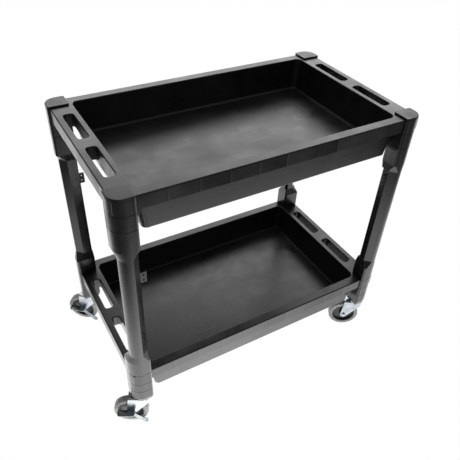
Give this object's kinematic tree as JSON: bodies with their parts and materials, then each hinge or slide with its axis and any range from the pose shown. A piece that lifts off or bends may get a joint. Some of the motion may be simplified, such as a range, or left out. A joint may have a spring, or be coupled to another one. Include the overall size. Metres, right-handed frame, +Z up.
{
  "type": "food service trolley",
  "caption": "Moulded plastic food service trolley with deep tub shelves, corner posts, hand slots in the end rims and swivelling casters.",
  "frame": {"origin": "on the floor, under the centre of the trays", "axes": "+X along the long side, +Y across it towards the rear side, +Z up"},
  "size_m": [0.9507, 0.5323, 0.821],
  "materials": {
    "tray_plastic": "moulded, fine matt texture",
    "leg_plastic": "moulded, fine matt texture",
    "cap_plastic": "moulded, fine matt texture",
    "tab_plastic": "moulded, matt",
    "zinc_steel": "bright zinc plate",
    "hub_plastic": "moulded, matt",
    "tread_rubber": "smooth grey, non-marking"
  },
  "bodies": {
    "cart": {"accessory_tab_front_left": "tab_plastic", "accessory_tab_front_right": "tab_plastic", "accessory_tab_rear_left": "tab_plastic", "accessory_tab_rear_right": "tab_plastic", "caster_ball_cage_front_left": "zinc_steel", "caster_ball_cage_front_right": "zinc_steel", "caster_ball_cage_rear_left": "zinc_steel", "caster_ball_cage_rear_right": "zinc_steel", "caster_race_front_left": "zinc_steel", "caster_race_front_right": "zinc_steel", "caster_race_rear_left": "zinc_steel", "caster_race_rear_right": "zinc_steel", "caster_stem_front_left": "zinc_steel", "caster_stem_front_right": "zinc_steel", "caster_stem_rear_left": "zinc_steel", "caster_stem_rear_right": "zinc_steel", "corner_cap_front_left": "cap_plastic", "corner_cap_front_right": "cap_plastic", "corner_cap_rear_left": "cap_plastic", "corner_cap_rear_right": "cap_plastic", "leg_front_left": "leg_plastic", "leg_front_right": "leg_plastic", "leg_rear_left": "leg_plastic", "leg_rear_right": "leg_plastic", "lower_tray": "tray_plastic", "top_tray": "tray_plastic"},
    "swivel_front_left": {"axle_bolt_front_left": "zinc_steel", "axle_nut_front_left": "zinc_steel", "axle_sleeve_front_left": "zinc_steel", "caster_fork_front_left": "zinc_steel"},
    "wheel_front_left": {"wheel_hub_front_left": "hub_plastic", "wheel_tread_front_left": "tread_rubber"},
    "swivel_rear_left": {"axle_bolt_rear_left": "zinc_steel", "axle_nut_rear_left": "zinc_steel", "axle_sleeve_rear_left": "zinc_steel", "caster_fork_rear_left": "zinc_steel"},
    "wheel_rear_left": {"wheel_hub_rear_left": "hub_plastic", "wheel_tread_rear_left": "tread_rubber"},
    "swivel_front_right": {"axle_bolt_front_right": "zinc_steel", "axle_nut_front_right": "zinc_steel", "axle_sleeve_front_right": "zinc_steel", "caster_fork_front_right": "zinc_steel"},
    "wheel_front_right": {"wheel_hub_front_right": "hub_plastic", "wheel_tread_front_right": "tread_rubber"},
    "swivel_rear_right": {"axle_bolt_rear_right": "zinc_steel", "axle_nut_rear_right": "zinc_steel", "axle_sleeve_rear_right": "zinc_steel", "caster_fork_rear_right": "zinc_steel"},
    "wheel_rear_right": {"wheel_hub_rear_right": "hub_plastic", "wheel_tread_rear_right": "tread_rubber"},
    "brake_front_left": {"brake_lever_front_left": "zinc_steel"},
    "brake_rear_left": {"brake_lever_rear_left": "zinc_steel"}
  },
  "joints": [
    {"name": "swivel_front_left", "type": "hinge", "parent": "cart", "child": "swivel_front_left", "pos_m": [-0.397, -0.222, 0.1], "axis": [0, 0, 1], "continuous": true},
    {"name": "wheel_front_left", "type": "hinge", "parent": "swivel_front_left", "child": "wheel_front_left", "pos_m": [-0.42586, -0.206, 0.05], "axis": [-0.4848, -0.8746, 0], "continuous": true},
    {"name": "brake_front_left", "type": "hinge", "parent": "swivel_front_left", "child": "brake_front_left", "pos_m": [-0.42586, -0.206, 0.05], "axis": [-0.4848, -0.8746, 0], "range_deg": [0, 22]},
    {"name": "swivel_rear_left", "type": "hinge", "parent": "cart", "child": "swivel_rear_left", "pos_m": [-0.397, 0.222, 0.1], "axis": [0, 0, 1], "continuous": true},
    {"name": "wheel_rear_left", "type": "hinge", "parent": "swivel_rear_left", "child": "wheel_rear_left", "pos_m": [-0.42228, 0.24321, 0.05], "axis": [-0.6428, -0.766, 0], "continuous": true},
    {"name": "brake_rear_left", "type": "hinge", "parent": "swivel_rear_left", "child": "brake_rear_left", "pos_m": [-0.42228, 0.24321, 0.05], "axis": [-0.6428, -0.766, 0], "range_deg": [0, 22]},
    {"name": "swivel_front_right", "type": "hinge", "parent": "cart", "child": "swivel_front_right", "pos_m": [0.397, -0.222, 0.1], "axis": [0, 0, 1], "continuous": true},
    {"name": "wheel_front_right", "type": "hinge", "parent": "swivel_front_right", "child": "wheel_front_right", "pos_m": [0.36901, -0.20451, 0.05], "axis": [-0.5299, -0.848, 0], "continuous": true},
    {"name": "swivel_rear_right", "type": "hinge", "parent": "cart", "child": "swivel_rear_right", "pos_m": [0.397, 0.222, 0.1], "axis": [0, 0, 1], "continuous": true},
    {"name": "wheel_rear_right", "type": "hinge", "parent": "swivel_rear_right", "child": "wheel_rear_right", "pos_m": [0.4276, 0.20964, 0.05], "axis": [0.3746, 0.9272, 0], "continuous": true}
  ]
}
